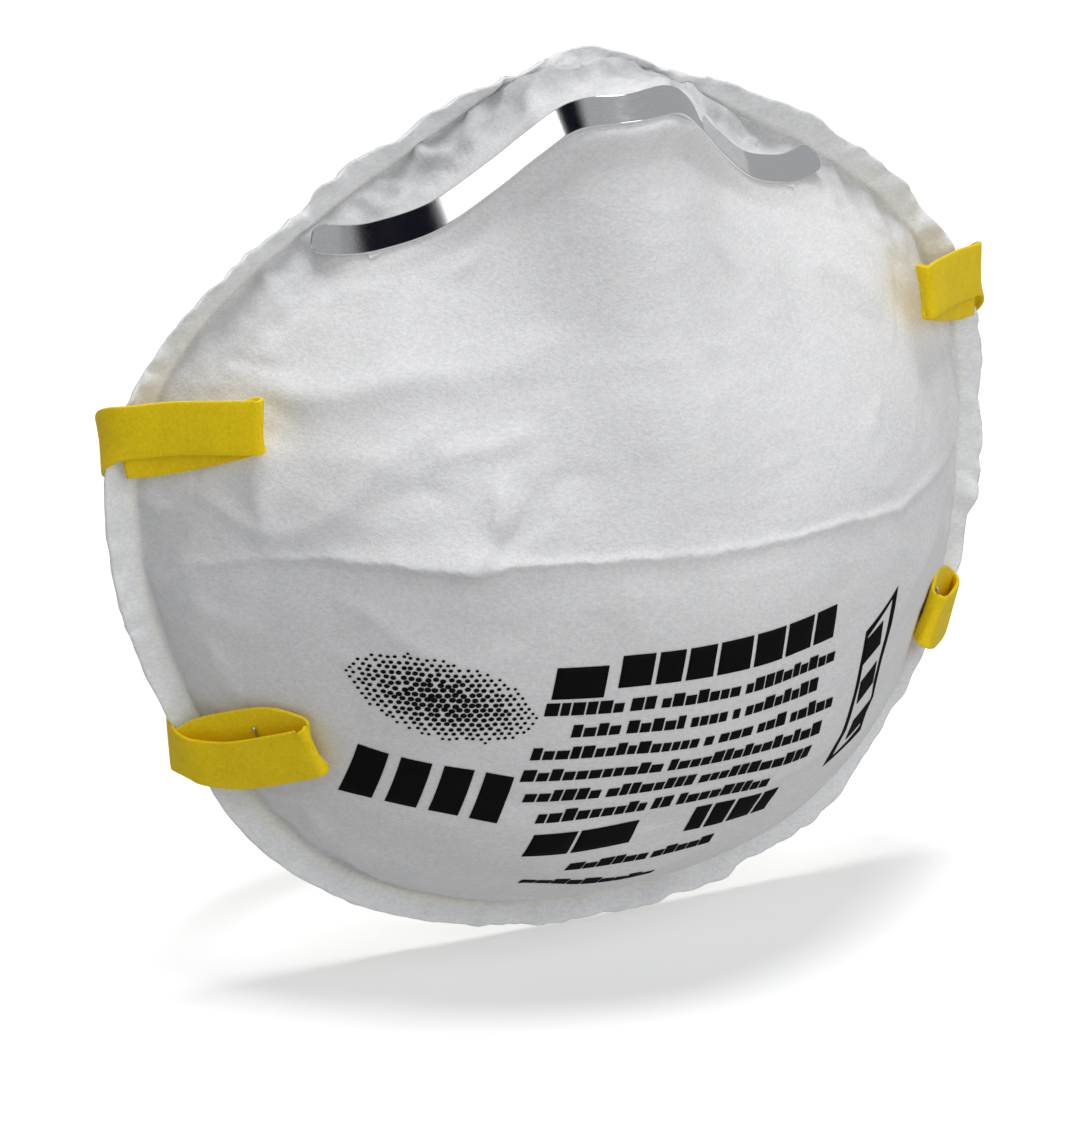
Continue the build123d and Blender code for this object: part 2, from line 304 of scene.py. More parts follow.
def crushShare(turn):
    # the edge above the nose clip is folded most, the cheeks less and the chin least
    top = np.exp(-((wrapped(turn) / math.radians(48)) ** 2))
    return 0.24 + 0.66 * top


def edgeWave(turn, share):
    # waves of the thin welded edge, growing outwards
    ring = np.stack([np.cos(turn) * 62, np.sin(turn) * 62, share * 4], -1)
    coarse = waves(ring, 14, 17.0, 41)
    small = 1 - np.abs(waves(ring, 14, 6.0, 43))
    return share * (0.5 * coarse + 0.75 * small) * (0.6 + 0.8 * crushShare(turn))


def edgeReach(turn):
    # how far the trimmed edge wanders in and out
    ring = np.stack([np.cos(turn) * 62, np.sin(turn) * 62, turn * 0], -1)
    trim = 0.0
    for middle, wide, deep in cup["trims"]:
        trim = trim + deep * np.exp(-((wrapped(turn - math.radians(middle)) / math.radians(wide)) ** 2))
    nibbles = 0.13 * waves(ring, 10, 6.0, 53) * (1 + waves(ring, 8, 30.0, 57))
    return trim + 0.3 * waves(ring, 12, 22.0, 51) + nibbles


def evenReaches(turn, count):
    # ring positions spaced evenly along each meridian
    fine = np.sin(np.linspace(0, math.pi / 2, 500))
    rows = np.empty((len(turn), count))
    for index, angle in enumerate(turn):
        line = wallPoint(np.full(fine.shape, angle), fine)
        walked = np.concatenate([[0], np.cumsum(np.linalg.norm(np.diff(line, axis=0), axis=1))])
        rows[index] = np.interp(np.linspace(0, walked[-1], count), walked, fine)
    return rows


def relaxRows(points, middle, spread, times):
    # averages each point with its two neighbours along the meridian, only round the foot of the wall
    for step in range(times):
        blended = points.copy()
        band = slice(middle - spread, middle + spread)
        before = slice(middle - spread - 1, middle + spread - 1)
        after = slice(middle - spread + 1, middle + spread + 1)
        blended[:, band] = 0.5 * points[:, band] + 0.25 * (points[:, before] + points[:, after])
        points = blended
    return points


def skinGrid(inset, flangeShift, edgeShort, relief):
    # rows run from the front of the cup to the trimmed edge, one column of rows for each angle
    turn = np.linspace(0, 2 * math.pi, cup["around"], endpoint=False)
    reach = evenReaches(turn, cup["wallRings"] + 1)[:, 1:]
    turns = np.repeat(turn[:, None], reach.shape[1], 1)
    points = wallPoint(turns, reach)
    normal = wallNormal(turns, reach)
    if relief:
        wall = points + normal * (relief(points, turns, reach) - inset)[..., None]
    else:
        wall = points - normal * inset
    share = np.linspace(0, 1, cup["flangeRings"] + 1)[1:]
    footX, footZ = footPoint(turn)
    size = np.hypot(footX, footZ)
    wide = flangeWidth(turn) + edgeReach(turn) - edgeShort
    out = size[:, None] + wide[:, None] * share[None]
    flangeX, flangeZ = out * (footX / size)[:, None], out * (footZ / size)[:, None]
    flangeTurn = np.repeat(turn[:, None], len(share), 1)
    flangeShare = np.repeat(share[None], len(turn), 0)
    flangeY = faceDepth(flangeZ) + flangeShift + edgeWave(flangeTurn, flangeShare)
    groove = 0.3 * np.exp(-(((flangeShare - 0.42) / 0.13) ** 2)) if relief else 0.0
    flange = np.stack([flangeX, flangeY + groove, flangeZ], -1)
    points = np.concatenate([wall, flange], 1)
    return relaxRows(points, reach.shape[1], 9, 5)


def pushMesh(name, vertices, faces, smooth=True):
    mesh = bpy.data.meshes.new(name)
    mesh.from_pydata(np.asarray(vertices).tolist(), [], faces)
    mesh.polygons.foreach_set("use_smooth", np.full(len(mesh.polygons), smooth))
    mesh.update()
    made = bpy.data.objects.new(name, mesh)
    bpy.context.scene.collection.objects.link(made)
    return made


def domeObject(name, points, pole):
    # a grid closed round the axis, its columns running out from one vertex at the front
    columns, rows = points.shape[:2]
    vertices = np.concatenate([np.array([pole]), points.reshape(-1, 3)]) * mm
    a, b = np.meshgrid(np.arange(columns), np.arange(rows - 1), indexing="ij")
    here, beside = 1 + a * rows + b, 1 + (a + 1) % columns * rows + b
    quads = np.stack([here, here + 1, beside + 1, beside], -1).reshape(-1, 4)
    first = np.arange(columns) * rows + 1
    cap = np.stack([np.zeros(columns, int), first, np.roll(first, -1)], -1)
    made = pushMesh(name, vertices, quads.tolist() + cap.tolist())
    faceUp(made)
    return made


def faceUp(piece):
    # turns an open cup's faces away from its inside
    mesh = piece.data
    count = len(mesh.polygons)
    normals, centres = np.empty(count * 3), np.empty(count * 3)
    mesh.polygons.foreach_get("normal", normals)
    mesh.polygons.foreach_get("center", centres)
    away = centres.reshape(-1, 3) - np.array([0.0, 0.006, -0.006])
    if (normals.reshape(-1, 3) * away).sum() < 0:
        mesh.flip_normals()


class Wire:
    # a socket that can be used in sums
    def __init__(self, maker, socket):
        self.maker = maker
        self.socket = socket

    def joined(self, operation, first, second):
        made = self.maker.node("ShaderNodeMath", {"operation": operation}, {0: first, 1: second})
        return Wire(self.maker, made.outputs[0])

    def __add__(self, other):
        return self.joined("ADD", self, other)

    def __radd__(self, other):
        return self.joined("ADD", other, self)

    def __sub__(self, other):
        return self.joined("SUBTRACT", self, other)

    def __rsub__(self, other):
        return self.joined("SUBTRACT", other, self)

    def __mul__(self, other):
        return self.joined("MULTIPLY", self, other)

    def __rmul__(self, other):
        return self.joined("MULTIPLY", other, self)


class Finish:
    # one material and the few ways its nodes are made
    def __init__(self, name, **fixed):
        self.material = bpy.data.materials.new(name)
        self.material.use_nodes = True
        self.tree = self.material.node_tree
        self.shader = self.tree.nodes["Principled BSDF"]
        for socket, value in fixed.items():
            self.shader.inputs[socket.replace("_", " ")].default_value = value

    def node(self, kind, settings=None, inputs=None):
        made = self.tree.nodes.new(kind)
        for key, value in (settings or {}).items():
            if key == "stops":
                marks = made.color_ramp.elements
                for index, (place, colour) in enumerate(value):
                    stop = marks[index] if index < 2 else marks.new(place)
                    stop.position = place
                    stop.color = colour
            else:
                setattr(made, key, value)
        for key, value in (inputs or {}).items():
            if isinstance(value, Wire):
                self.tree.links.new(value.socket, made.inputs[key])
            else:
                made.inputs[key].default_value = value
        return made

    def wire(self, made, output=0):
        return Wire(self, made.outputs[output])

    def place(self, scale=(1, 1, 1), turn=(0, 0, 0)):
        where = self.node("ShaderNodeTexCoord")
        sockets = {"Vector": self.wire(where, "Object"), "Scale": scale, "Rotation": turn}
        return self.wire(self.node("ShaderNodeMapping", None, sockets))

    def noise(self, where, scale, detail=3.0, rough=0.55, distort=0.0):
        sockets = {"Vector": where, "Scale": scale, "Detail": detail}
        sockets.update({"Roughness": rough, "Distortion": distort})
        return self.wire(self.node("ShaderNodeTexNoise", None, sockets), "Fac")

    def between(self, value, low, high, newLow=0.0, newHigh=1.0):
        sockets = {0: value, 1: low, 2: high, 3: newLow, 4: newHigh}
        return self.wire(self.node("ShaderNodeMapRange", {"clamp": True}, sockets))

    def blendColour(self, share, first, second):
        made = self.node("ShaderNodeMix", {"data_type": "RGBA"}, {0: share, 6: first, 7: second})
        return self.wire(made, 2)

    def bump(self, height, strength, distance, under=None):
        sockets = {"Height": height, "Strength": strength, "Distance": distance}
        if under is not None:
            sockets["Normal"] = under
        return self.wire(self.node("ShaderNodeBump", None, sockets))

    def to(self, socket, value):
        self.tree.links.new(value.socket, self.shader.inputs[socket])
        return self


def feltFinish(name, light, shade, tint, fuzz, grain=1.0):
    # pressed nonwoven: short fibres, faint clouding, a tint along the weld, painted shade darkening the
    # crushed band above the nose clip and painted light brightening the thin edge
    made = Finish(name, Roughness=0.92, IOR=1.4)
    made.shader.inputs["Sheen Weight"].default_value = fuzz
    made.shader.inputs["Sheen Roughness"].default_value = 0.6
    where = made.place()
    fibres = made.noise(made.place((1, 1, 1.8)), 1500.0 * grain, 3.0, 0.7, 0.6)
    strands = made.noise(made.place((2.6, 1, 1), (0.3, 0.9, 0.5)), 620.0 * grain, 4.0, 0.65, 1.2)
    cloud = made.noise(where, 70.0, 3.0)
    mottle = made.noise(where, 260.0, 3.0)
    base = made.blendColour(made.between(cloud * 0.5 + mottle * 0.5, 0.38, 0.62), shade, light)
    # painted shade: the crushed band inside the weld, strongest above the nose clip, darkened in its colour
    # where its folds lie in shade
    paintedShade = made.wire(made.node("ShaderNodeAttribute", {"attribute_name": "paintedShadeShare"}), "Fac")
    base = made.blendColour(paintedShade * made.between(mottle, 0.35, 0.6, 0.6, 1.0), base, (0.43, 0.435, 0.45, 1))
    # painted light: the thin welded edge made lighter in its colour, as if lit through from behind
    paintedEdgeLight = made.wire(made.node("ShaderNodeAttribute", {"attribute_name": "paintedEdgeLightShare"}), "Fac")
    base = made.blendColour(paintedEdgeLight, base, (0.87, 0.88, 0.885, 1))
    weld = made.wire(made.node("ShaderNodeAttribute", {"attribute_name": "weldShare"}), "Fac")
    base = made.blendColour(weld * made.between(cloud, 0.4, 0.6, 0.5, 1.0), base, tint)
    speck = made.between(fibres, 0.36, 0.64, 0.885, 1.03)
    tone = made.wire(made.node("ShaderNodeCombineColor", None, {0: speck, 1: speck, 2: speck}))
    multiply = {"data_type": "RGBA", "blend_type": "MULTIPLY"}
    flecked = made.node("ShaderNodeMix", multiply, {0: 1.0, 6: base, 7: tone})
    made.to("Base Color", made.wire(flecked, 2))
    low = made.bump(strands, 0.35, 0.00022)
    made.to("Normal", made.bump(fibres, 0.45, 0.00016, low))
    return made.material


def plainFinish(name, colour, rough, metal=0.0, speckle=0.06, scale=900.0, deep=0.00004):
    # one colour with a little variation and a fine grain
    made = Finish(name, Metallic=metal)
    where = made.place()
    cloud = made.noise(where, scale * 0.12)
    grain = made.noise(where, scale)
    darker = tuple(part * (1 - speckle * 2.5) for part in colour[:3]) + (1,)
    share = made.between(cloud * 0.5 + grain * 0.5, 0.35, 0.62)
    made.to("Base Color", made.blendColour(share, darker, colour))
    made.to("Roughness", made.between(cloud, 0.3, 0.7, rough * 0.85, min(1.0, rough * 1.15)))
    made.to("Normal", made.bump(grain, 0.4, deep))
    return made.material


coverFelt = feltFinish(
    "cover_felt",
    light=(0.81, 0.81, 0.815, 1),
    shade=(0.775, 0.775, 0.78, 1),
    tint=(0.90, 0.89, 0.74, 1),
    fuzz=0.25,
)
shellFelt = feltFinish(
    "shell_felt",
    light=(0.78, 0.78, 0.77, 1),
    shade=(0.68, 0.68, 0.67, 1),
    tint=(0.82, 0.80, 0.70, 1),
    fuzz=0.15,
    grain=0.6,
)

# cover
coverPoints = skinGrid(0.0, -cup["flangeThick"], 0.0, coverRelief)
poleTurn, poleReach = np.array([0.0]), np.array([0.0])
poleLift = coverRelief(np.array([[0.0, -cup["depth"], cup["apexZ"]]]), poleTurn, poleReach)[0]
coverWeb = domeObject("coverWeb", coverPoints, (0.0, -cup["depth"] - poleLift, cup["apexZ"]))
coverWeb.data.materials.append(coverFelt)


def markEdge(piece, columns, rows, wallRows):
    # shares from nothing to one for the finishes: the weld line, painted light on the thin edge and painted
    # shade on the crushed band inside the weld
    place = np.arange(rows) - wallRows
    turn = np.linspace(0, 2 * math.pi, columns, endpoint=False)
    chin = 0.25 + 0.75 * np.exp(-((wrapped(turn - math.pi) / 1.2) ** 2))
    weld = 0.8 * np.exp(-(((place - 1.5) / 2.2) ** 2))[None] * chin[:, None]
    # painted light share: the thin edge past the weld
    paintedEdgeLight = np.repeat(smoothStep(place, -2, 3)[None], columns, 0)
    # painted shade share: the band inside the weld, weighted most above the nose
    band = smoothStep(place, -22, -8) * (1 - smoothStep(place, 0, 4))
    paintedShade = band[None] * crushShare(turn)[:, None]
    for name, share in (("weldShare", weld), ("paintedEdgeLightShare", paintedEdgeLight), ("paintedShadeShare", paintedShade)):
        layer = piece.data.attributes.new(name, "FLOAT", "POINT")
        layer.data.foreach_set("value", np.concatenate([[0.0], share.reshape(-1)]))


markEdge(coverWeb, *coverPoints.shape[:2], cup["wallRings"])
skin = coverWeb.modifiers.new("thickness", "SOLIDIFY")
skin.thickness = 0.00042
skin.offset = -1
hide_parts("cover_web", "welded_rim")
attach(coverWeb, maskBody)
print("cover made")

# moulded shell inside, with its side of the welded edge
shell = {"inset": 2.8, "edgeShift": -0.42, "edgeShort": 0.35, "thick": 0.8}
shellPoints = skinGrid(shell["inset"], shell["edgeShift"], shell["edgeShort"], None)
mouldedShell = domeObject("mouldedShell", shellPoints, (0.0, shell["inset"] - cup["depth"], cup["apexZ"]))
mouldedShell.data.materials.append(shellFelt)
markEdge(mouldedShell, *shellPoints.shape[:2], cup["wallRings"])
wall = mouldedShell.modifiers.new("thickness", "SOLIDIFY")
wall.thickness = shell["thick"] * mm
wall.offset = 0
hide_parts("moulded_shell")
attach(mouldedShell, maskBody)
print("shell made")


def unit(vectors):
    return vectors / (np.linalg.norm(vectors, axis=-1, keepdims=True) + 1e-12)


def tubeFaces(columns, rows):
    # quads along a closed tube stored ring by ring, and a fan of triangles over each end
    row = np.arange(rows)
    a, b = np.meshgrid(np.arange(columns - 1), row, indexing="ij")
    after = (b + 1) % rows
    quads = np.stack([a * rows + b, (a + 1) * rows + b, (a + 1) * rows + after, a * rows + after], -1)
    last = (columns - 1) * rows
    front = np.stack([np.full(rows, columns * rows), row, (row + 1) % rows], -1)
    back = np.stack([np.full(rows, columns * rows + 1), last + (row + 1) % rows, last + row], -1)
    return quads.reshape(-1, 4).tolist() + front.tolist() + back.tolist()


def bandObject(name, path, side, section, taper=None):
    # a closed section of width and thickness carried along a path, its width kept along the side vectors
    along = unit(np.gradient(path, axis=0))
    side = unit(side - (side * along).sum(-1, keepdims=True) * along)
    up = np.cross(along, side)
    size = np.ones(len(path)) if taper is None else taper
    ring = path[:, None] + side[:, None] * section[:, 0][None, :, None] * size[:, None, None]
    ring = ring + up[:, None] * section[:, 1][None, :, None]
    vertices = np.concatenate([ring.reshape(-1, 3), path[:1], path[-1:]]) * mm
    made = pushMesh(name, vertices, tubeFaces(*ring.shape[:2]))
    outward(made)
    return made


def edgedSection(width, thick, radius, perCorner=4):
    # a flat rectangle with small rounded corners, with extra points where the flats begin
    arc = np.linspace(0, math.pi / 2, perCorner)
    points = []
    for quarter, (sideX, sideY) in enumerate(((1, 1), (-1, 1), (-1, -1), (1, -1))):
        middle = np.array([sideX * (width / 2 - radius), sideY * (thick / 2 - radius)])
        angle = arc + quarter * math.pi / 2
        ring = middle + radius * np.stack([np.cos(angle), np.sin(angle)], -1)
        nudge = radius * 0.8 * np.array([-sideX, 0.0])
        if quarter % 2 == 0:
            points += list(ring) + [ring[-1] + nudge]
        else:
            points += [ring[0] + nudge] + list(ring)
    return np.array(points)


def outward(piece):
    # turns every face away from the closed piece's inside
    bpy.context.view_layer.objects.active = piece
    bpy.ops.object.select_all(action="DESELECT")
    piece.select_set(True)
    bpy.ops.object.mode_set(mode="EDIT")
    bpy.ops.mesh.select_all(action="SELECT")
    bpy.ops.mesh.normals_make_consistent(inside=False)
    bpy.ops.object.mode_set(mode="OBJECT")


def flatSection(width, thick, around=28, power=5.0):
    # a rounded rectangle as a superellipse
    angle = np.linspace(0, 2 * math.pi, around, endpoint=False)
    half = np.stack([np.cos(angle), np.sin(angle)], -1)
    shaped = np.sign(half) * np.abs(half) ** (2 / power)
    return shaped * np.array([width / 2, thick / 2])


clipSide = np.repeat(np.array([[0.0, math.sin(lean), math.cos(lean)]]), len(clipPath), 0)
clipStep = np.arange(noseClip["steps"])
fromEnd = np.minimum(clipStep, clipStep[::-1]) * clipLength / (noseClip["steps"] - 1)
clipTaper = np.sqrt(np.clip(1 - (1 - np.clip(fromEnd / noseClip["endRound"], 0, 1)) ** 2.4, 0.02, 1))
clipSection = edgedSection(noseClip["width"], noseClip["thick"], noseClip["edge"])
clip = bandObject("noseClip", clipPath, clipSide, clipSection, clipTaper)
metal = Finish("rolled_aluminium", Metallic=1.0)
rolled = metal.noise(metal.place((6, 120, 120)), 40.0, 4.0, 0.6)
dullMetal, brightMetal = (0.82, 0.82, 0.83, 1), (0.91, 0.91, 0.92, 1)
metal.to("Base Color", metal.blendColour(metal.between(rolled, 0.3, 0.7), dullMetal, brightMetal))
metal.to("Roughness", metal.between(rolled, 0.3, 0.7, 0.07, 0.13))
metal.to("Normal", metal.bump(rolled, 0.12, 0.00003))
clip.data.materials.append(metal.material)
clip.visible_diffuse = False  # keeps its mirror flecks off the cloth
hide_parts("nose_clip")
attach(clip, maskBody)
print("clip made, length", round(clipLength, 1))

# straps: outward distance from the rim, depth, height, and the lean of the band's width
strapStyle = {"width": 7.5, "thick": 0.62, "steps": 620}
upperRoute = {
    "rim": 62.4,
    "points": (
        (0.6, -3.1, 12.2, 0.10),
        (-3.0, -6.2, 12.9, 0.05),
        (-8.2, -12.2, 15.0, -0.02),
        (-12.4, -17.6, 17.2, -0.10),
        (-13.4, -19.0, 17.8, -0.10),
        (-12.6, -20.0, 17.8, -0.10),
        (-9.6, -16.6, 17.4, -0.04),
        (-4.6, -10.4, 16.6, 0.05),
        (-0.6, -6.0, 15.6, 0.10),
        (1.3, -3.4, 15.0, 0.06),
        (2.0, -0.6, 13.7, 0.0),
        (1.4, 2.2, 11.6, 0.0),
        (-1.4, 5.8, 10.0, 0.0),
        (-7.4, 13.6, 8.6, 0.0),
    ),
    "loop": ((40.0, 26.6, 7.6), (23.0, 33.6, 6.4), (8.0, 35.4, 6.0)),
    "droop": 15.0,
    "rightFold": (-2.2, 3.6, 2.4),
    "body": "upper_strap",
    "joint": (0.0, 3.0, 16.0),
}
lowerRoute = {
    "rim": 56.4,
    "points": (
        (0.0, -3.3, -31.2, 0.34),
        (-2.6, -7.0, -28.8, 0.36),
        (-7.6, -14.8, -26.2, 0.38),
        (-10.4, -19.0, -26.4, 0.36),
        (-11.2, -20.6, -27.0, 0.34),
        (-10.6, -21.8, -27.8, 0.34),
        (-8.0, -17.8, -29.4, 0.34),
        (-4.0, -11.0, -31.6, 0.34),
        (-0.6, -6.2, -32.0, 0.34),
        (0.7, -3.6, -31.6, 0.28),
        (1.0, -0.8, -31.2, 0.12),
        (0.6, 2.0, -31.2, 0.0),
        (-1.6, 5.8, -32.0, 0.0),
        (-6.6, 13.4, -33.8, 0.0),
    ),
    "loop": ((36.5, 24.6, -36.8), (21.5, 31.4, -38.7), (8.0, 33.4, -39.2)),
    "droop": 15.0,
    "rightFold": (1.2, 1.6, 2.2),
    "body": "lower_strap",
    "joint": (0.0, 3.0, -31.0),
}

steelWire = plainFinish("staple_wire", (0.62, 0.62, 0.64, 1), 0.25, 1.0, scale=1500.0, deep=0.00001)
staple = {
    "wire": 0.5,
    "crown": 4.2,
    "leg": 3.6,
    "bend": 0.35,
    "along": 12.5,  # from the band's end
    "raise": {"upper": 1.0, "lower": -1.2},
}
elastic = Finish("yellow_elastic")
elastic.shader.inputs["Specular IOR Level"].default_value = 0.2
stretch = elastic.place()
pores = elastic.noise(stretch, 2300.0, 3.0, 0.6)
blotch = elastic.noise(stretch, 330.0, 3.0)
deepYellow, brightYellow = (0.84, 0.58, 0.002, 1), (0.95, 0.71, 0.006, 1)
yellowShare = elastic.between(blotch * 0.3 + pores * 0.7, 0.36, 0.62)
elastic.to("Base Color", elastic.blendColour(yellowShare, deepYellow, brightYellow))
elastic.to("Roughness", elastic.between(pores, 0.3, 0.7, 0.5, 0.75))
elastic.to("Normal", elastic.bump(pores, 0.5, 0.00008, elastic.bump(blotch, 0.3, 0.0002)))


def strapObject(name, route):
    # tail, fold, upper layer and loop in one band from the right side round to the left
    points = np.array(route["points"])
    right = np.stack([route["rim"] + points[:, 0], points[:, 1], points[:, 2], points[:, 3]], -1)
    droop = math.radians(route["droop"])
    loop = np.array([list(place) + [0.0] for place in route["loop"]])
    half = np.concatenate([right, loop])
    other = half.copy()
    shiftOut, foldUp, turnUp = route["rightFold"]
    amount = smoothStep(-points[:, 0], 2.0, 11.0)
    other[: len(points), 0] += shiftOut * amount
    other[: len(points), 1] += shiftOut * amount * 1.25
    inFront = 1 - smoothStep(points[:, 1], 0.0, 6.0)
    other[: len(points), 2] += foldUp * amount + turnUp * (1 - amount) * inFront
    whole = np.concatenate([other, half[::-1] * [-1, 1, 1, -1]])
    path, length = smoothPath(whole, strapStyle["steps"])
    behind = smoothStep(path[:, 1], 0.0, 6.0)
    level = np.array([0.0, math.sin(droop), math.cos(droop)])
    onCup = np.stack([path[:, 3], np.zeros(len(path)), np.sqrt(1 - path[:, 3] ** 2)], -1)
    side = onCup * (1 - behind[:, None]) + level[None] * behind[:, None]
    made = bandObject(name, path[:, :3], side, flatSection(strapStyle["width"], strapStyle["thick"], 32, 6.0))
    made.data.materials.append(elastic.material)
    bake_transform(made)
    print(name, "length", round(length, 1))
    for place, hand in ((staple["along"], "right"), (length - staple["along"], "left")):
        index = int(place / length * (len(path) - 1))
        along = path[index + 2, :3] - path[index - 2, :3]
        stapleObject(route["body"].split("_")[0], hand, path[index, :3], along, side[index])
    return made


def stapleObject(level, hand, centre, along, side):
    # crown across the stapled layer, two legs in through the cup
    along, side = unit(along), unit(side)
    inward = np.cross(along, side)
    inward = inward * np.sign((inward * (np.array([0.0, 6.0, 0.0]) - centre)).sum())
    top = centre - inward * (strapStyle["thick"] / 2 + staple["wire"] / 2)
    top = top + side * np.sign(side[2]) * staple["raise"][level]
    half, leg, bend = staple["crown"] / 2, staple["leg"], staple["bend"]
    steps = ((-half, leg), (-half, bend), (-half + bend, 0), (half - bend, 0), (half, bend), (half, leg))
    route = smoothPath(np.array([top + side * across + inward * down for across, down in steps]), 60)[0]
    turnedSide = np.repeat(along[None], len(route), 0)
    wireSection = flatSection(staple["wire"], staple["wire"], 12, 2.0)
    made = bandObject(f"{level}{hand.capitalize()}Staple", route, turnedSide, wireSection)
    made.data.materials.append(steelWire)
    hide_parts(f"{level}_{hand}_staple")
    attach(made, maskBody)


upperStrap = strapObject("upperStrap", upperRoute)
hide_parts("upper_strap_loop", "upper_left_strap_end", "upper_right_strap_end")
lowerStrap = strapObject("lowerStrap", lowerRoute)
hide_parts("lower_strap_loop", "lower_left_strap_end", "lower_right_strap_end")

# foam pad inside the nose
foam = {
    "inset": 3.25,
    "thick": 4.2,
    "halfTurn": 33.0,
    "reachLow": 0.80,
    "reachHigh": 0.955,
    "across": 120,
    "rings": 60,
}


def foamPad():
    # a pillow on the inside of the wall: two faces that meet at a rounded edge
    u = np.linspace(-1, 1, foam["across"])[:, None]
    v = np.linspace(0, 2 * math.pi, foam["rings"], endpoint=False)[None]
    turn = u * math.radians(foam["halfTurn"]) + v * 0
    middle = (foam["reachLow"] + foam["reachHigh"]) / 2 - 0.02 * np.abs(u)
    half = (foam["reachHigh"] - foam["reachLow"]) / 2 * np.sqrt(np.clip(1 - np.abs(u) ** 8, 0, 1))
    squareCos = np.sign(np.cos(v)) * np.abs(np.cos(v)) ** 0.45
    squareSin = np.sign(np.sin(v)) * np.abs(np.sin(v)) ** 0.45
    reach = middle + half * squareCos
    base, normal = wallPoint(turn, reach), wallNormal(turn, reach)
    thick = foam["thick"] / 2 * np.clip(1 - np.abs(u) ** 10, 0.02, 1) ** 0.5
    depth = foam["inset"] + foam["thick"] / 2 + thick * squareSin
    return base - normal * depth[..., None]


foamPoints = foamPad()
ends = np.stack([foamPoints[0].mean(0), foamPoints[-1].mean(0)])
foamVertices = np.concatenate([foamPoints.reshape(-1, 3), ends]) * mm
noseFoam = pushMesh("noseFoam", foamVertices, tubeFaces(foam["across"], foam["rings"]))
outward(noseFoam)
sponge = Finish("grey_foam", Roughness=0.95)
cells = sponge.node("ShaderNodeTexVoronoi", {"feature": "F1"}, {"Vector": sponge.place(), "Scale": 1500.0})
cellDepth = sponge.wire(cells, "Distance")
darkGrey, paleGrey = (0.30, 0.31, 0.33, 1), (0.52, 0.53, 0.55, 1)
sponge.to("Base Color", sponge.blendColour(sponge.between(cellDepth, 0.2, 0.7), darkGrey, paleGrey))
sponge.to("Normal", sponge.bump(cellDepth, 0.7, 0.0003))
noseFoam.data.materials.append(sponge.material)
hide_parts("nose_foam")
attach(noseFoam, maskBody)
print("foam made")


def onCover(x, z, lift):
    # places points given across the front onto the wrinkled cover
    tableTurn = np.linspace(-math.pi, math.pi, 1441)
    footX, footZ = footPoint(tableTurn)
    heading = np.unwrap(np.arctan2(footX, footZ - cup["apexZ"]))
    span = np.hypot(footX, footZ - cup["apexZ"])
    wanted = np.arctan2(x, z - cup["apexZ"])
    turn = np.interp(wanted, heading, tableTurn)
    reach = np.hypot(x, z - cup["apexZ"]) / np.interp(wanted, heading, span)
    base, normal = wallPoint(turn, reach), wallNormal(turn, reach)
    return base + normal * (coverRelief(base, turn, reach) + lift)[..., None]


# printing: a stippled patch, plain blocks and rows of bars in place of words
printing = {
    "lift": 0.07,
    "dot": 0.27,
    "dotPitch": 0.86,
    "slant": 0.16,
    "lines": (
        (-19.6, -16.6, 6.4, 4.6, 1),
        (-11.4, -15.4, 34.0, 4.6, 7),
        (-20.4, -20.4, 43.0, 1.9, 25),
        (-17.0, -23.8, 36.5, 1.9, 22),
        (-21.6, -27.2, 44.0, 1.9, 27),
        (-22.4, -30.7, 43.0, 1.9, 26),
        (-21.6, -34.2, 41.0, 1.9, 25),
        (-19.4, -37.6, 33.0, 1.9, 20),
        (-19.6, -42.2, 14.4, 3.6, 2),
        (2.4, -42.0, 13.6, 4.2, 4),
        (-13.0, -47.0, 21.0, 1.5, 11),
        (-17.0, -51.2, 18.0, 1.3, 9),
    ),
    "frame": ((28.4, -19.2), (35.4, -15.2), (32.0, -37.0), (25.0, -40.2)),
    "frameHole": (0.74, 0.9),
    "frameBar": ((-1.9, -2.6), (1.9, -1.0), (1.9, 2.6), (-1.9, 1.0)),
    "frameBarHeights": (-6.3, 0.0, 6.3),
    "block": ((0.0, 0.0), (3.3, -0.8), (4.1, 6.6), (0.8, 7.4)),
    "blockStart": (-41.0, -34.2),
    "blockStep": (4.6, -1.1),
    "blockCount": 4,
    "oval": (10.4, 6.0),
    "ovalMiddle": (-31.6, -18.6),
    "film": 0.03,
}
ink = plainFinish("black_ink", (0.006, 0.006, 0.007, 1), 0.85, speckle=0.2, scale=1800.0, deep=0.00002)
ink.node_tree.nodes["Principled BSDF"].inputs["Specular IOR Level"].default_value = 0.08
rng = np.random.default_rng(5)


def patchQuads(corners, steps):
    # splits four-cornered shapes into small quads so that they follow the cover
    corners = np.asarray(corners, float)
    u = np.linspace(0, 1, steps + 1)
    a, b = np.meshgrid(u, u, indexing="ij")
    a, b = a[None, ..., None], b[None, ..., None]
    c0, c1, c2, c3 = (corners[:, index][:, None, None] for index in range(4))
    grid = c0 * (1 - a) * (1 - b) + c1 * a * (1 - b) + c2 * a * b + c3 * (1 - a) * b
    count = steps + 1
    i, j = np.meshgrid(np.arange(steps), np.arange(steps), indexing="ij")
    first = i * count + j
    one = np.stack([first, first + count, first + count + 1, first + 1], -1).reshape(-1, 4)
    faces = one[None] + (np.arange(len(corners)) * count * count)[:, None, None]
    return grid.reshape(-1, 2), faces.reshape(-1, 4)


def printObject(name, flat, faces):
    # flat marks laid on the cover and given a film's thickness
    vertices = onCover(flat[:, 0], flat[:, 1], printing["lift"]) * mm
    made = pushMesh(name, vertices, faces.tolist())
    film = made.modifiers.new("film", "SOLIDIFY")
    film.thickness = printing["film"] * mm
    film.offset = 1
    made.data.materials.append(ink)
    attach(made, maskBody)
    return made


